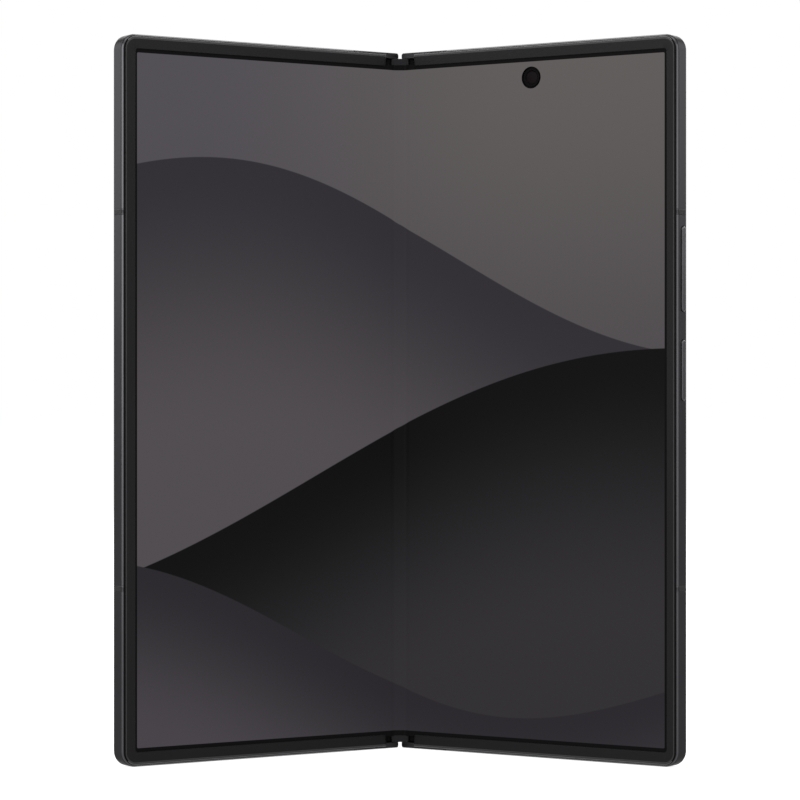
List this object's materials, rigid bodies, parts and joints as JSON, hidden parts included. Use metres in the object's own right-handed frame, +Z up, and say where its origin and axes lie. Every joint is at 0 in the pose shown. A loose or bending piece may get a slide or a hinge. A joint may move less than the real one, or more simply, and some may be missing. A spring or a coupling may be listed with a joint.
{
  "type": "foldable smartphone",
  "caption": "Book-style foldable phone standing half open, with a geared spine hinge, folding inner screen, cover screen, rear camera island, side keys and a sliding card tray.",
  "frame": {"origin": "middle of the standing phone's box, on the surface it stands on", "axes": "+Z up along the spine, +X to the viewer's right across the two halves, -Y towards the viewer, whom the open screens face"},
  "size_m": [0.124, 0.0418, 0.1584],
  "materials": {
    "frame_metal": "satin anodised, dark grey",
    "antenna_polymer": "satin, dark grey",
    "bezel_polymer": "satin black",
    "screen": "smooth screen layer showing a plain shaded background",
    "steel": "fine brushed",
    "back_glass": "matt etched glass, dark grey, opaque",
    "cover_glass": "polished black glass over a dark display",
    "island_metal": "fine blasted, dark grey",
    "ring_metal": "turned, bright edge",
    "lens_glass": "coated lens glass",
    "black_polymer": "moulded",
    "flash_polymer": "frosted lens",
    "board": "solder mask",
    "shield_steel": "plain nickel silver",
    "cell_pouch": "wrapped cell",
    "copper": "enamelled copper wire",
    "flex_polyimide": "flexible circuit",
    "key_metal": "satin anodised, dark grey",
    "spine_metal": "satin anodised, dark grey",
    "cap_polymer": "satin",
    "gear_steel": "plain",
    "magnet": "nickel plated"
  },
  "bodies": {
    "spine": {"spine_cover": "spine_metal", "spine_end_caps": "cap_polymer", "hinge_bases": "gear_steel", "fold_display": "screen", "flex_cable": "flex_polyimide", "detent_springs": "gear_steel"},
    "right_half": {"right_frame": "frame_metal", "right_antenna_breaks": "antenna_polymer", "right_bezel": "bezel_polymer", "right_display": "screen", "right_support_plate": "steel", "rear_glass": "back_glass", "camera_island": "island_metal", "camera_rings": "ring_metal", "camera_lens_glasses": "lens_glass", "camera_modules": "black_polymer", "flash_lens": "flash_polymer", "main_board": "board", "board_shields": "shield_steel", "board_screws": "steel", "right_battery": "cell_pouch", "charging_coil": "copper", "usb_port": "shield_steel", "usb_tongue": "black_polymer", "charging_board": "board", "loudspeaker": "black_polymer", "vibration_motor": "shield_steel", "inner_camera": "black_polymer", "key_switch_board": "flex_polyimide", "right_swing_arms": "steel", "right_arm_screws": "steel", "right_magnets": "magnet"},
    "left_half": {"left_frame": "frame_metal", "left_antenna_breaks": "antenna_polymer", "left_bezel": "bezel_polymer", "left_display": "screen", "left_support_plate": "steel", "cover_glass": "cover_glass", "cover_display": "black_polymer", "cover_camera": "black_polymer", "left_battery": "cell_pouch", "left_board": "board", "left_shields": "shield_steel", "left_board_screws": "steel", "earpiece": "black_polymer", "sim_reader": "shield_steel", "left_swing_arms": "steel", "left_arm_screws": "steel", "left_magnets": "magnet"},
    "right_sync": {"right_sync_arms": "gear_steel"},
    "left_sync": {"left_sync_arms": "gear_steel"},
    "right_idler": {"right_idler_gears": "gear_steel"},
    "left_idler": {"left_idler_gears": "gear_steel"},
    "volume_key": {"volume_key": "key_metal"},
    "power_key": {"power_key": "key_metal"},
    "sim_tray": {"sim_tray": "key_metal"}
  },
  "joints": [
    {"name": "right_fold", "type": "hinge", "parent": "spine", "child": "right_half", "pos_m": [0.00118, 0.01782, 0], "axis": [0, 0, 1], "range_deg": [-57.2, 32.8], "deforming": ["fold_display", "flex_cable"]},
    {"name": "left_fold", "type": "hinge", "parent": "spine", "child": "left_half", "pos_m": [-0.00118, 0.01782, 0], "axis": [0, 0, 1], "range_deg": [-32.8, 57.2]},
    {"name": "right_sync_turn", "type": "hinge", "parent": "spine", "child": "right_sync", "pos_m": [0.0015, 0.0185, 0], "axis": [0, 0, 1], "range_deg": [-57.2, 32.8]},
    {"name": "left_sync_turn", "type": "hinge", "parent": "spine", "child": "left_sync", "pos_m": [-0.0015, 0.0185, 0], "axis": [0, 0, 1], "range_deg": [-32.8, 57.2]},
    {"name": "right_idler_turn", "type": "hinge", "parent": "spine", "child": "right_idler", "pos_m": [0.0005, 0.0185, 0], "axis": [0, 0, 1], "range_deg": [-32.8, 57.2]},
    {"name": "left_idler_turn", "type": "hinge", "parent": "spine", "child": "left_idler", "pos_m": [-0.0005, 0.0185, 0], "axis": [0, 0, 1], "range_deg": [-57.2, 32.8]},
    {"name": "volume_press", "type": "slide", "parent": "right_half", "child": "volume_key", "axis": [-0.8406, 0.5417, 0], "range_m": [0, 0.0002], "stiffness_N_per_m": 1000},
    {"name": "power_press", "type": "slide", "parent": "right_half", "child": "power_key", "axis": [-0.8406, 0.5417, 0], "range_m": [0, 0.0002], "stiffness_N_per_m": 1000},
    {"name": "sim_tray_slide", "type": "slide", "parent": "left_half", "child": "sim_tray", "axis": [0, 0, 1], "range_m": [0, 0.022]}
  ],
  "couplings": [
    {"joint": "left_fold", "follows": "right_fold", "ratio": -1},
    {"joint": "right_sync_turn", "follows": "right_fold", "ratio": 1},
    {"joint": "left_sync_turn", "follows": "right_fold", "ratio": -1},
    {"joint": "right_idler_turn", "follows": "right_fold", "ratio": -1},
    {"joint": "left_idler_turn", "follows": "right_fold", "ratio": 1}
  ]
}
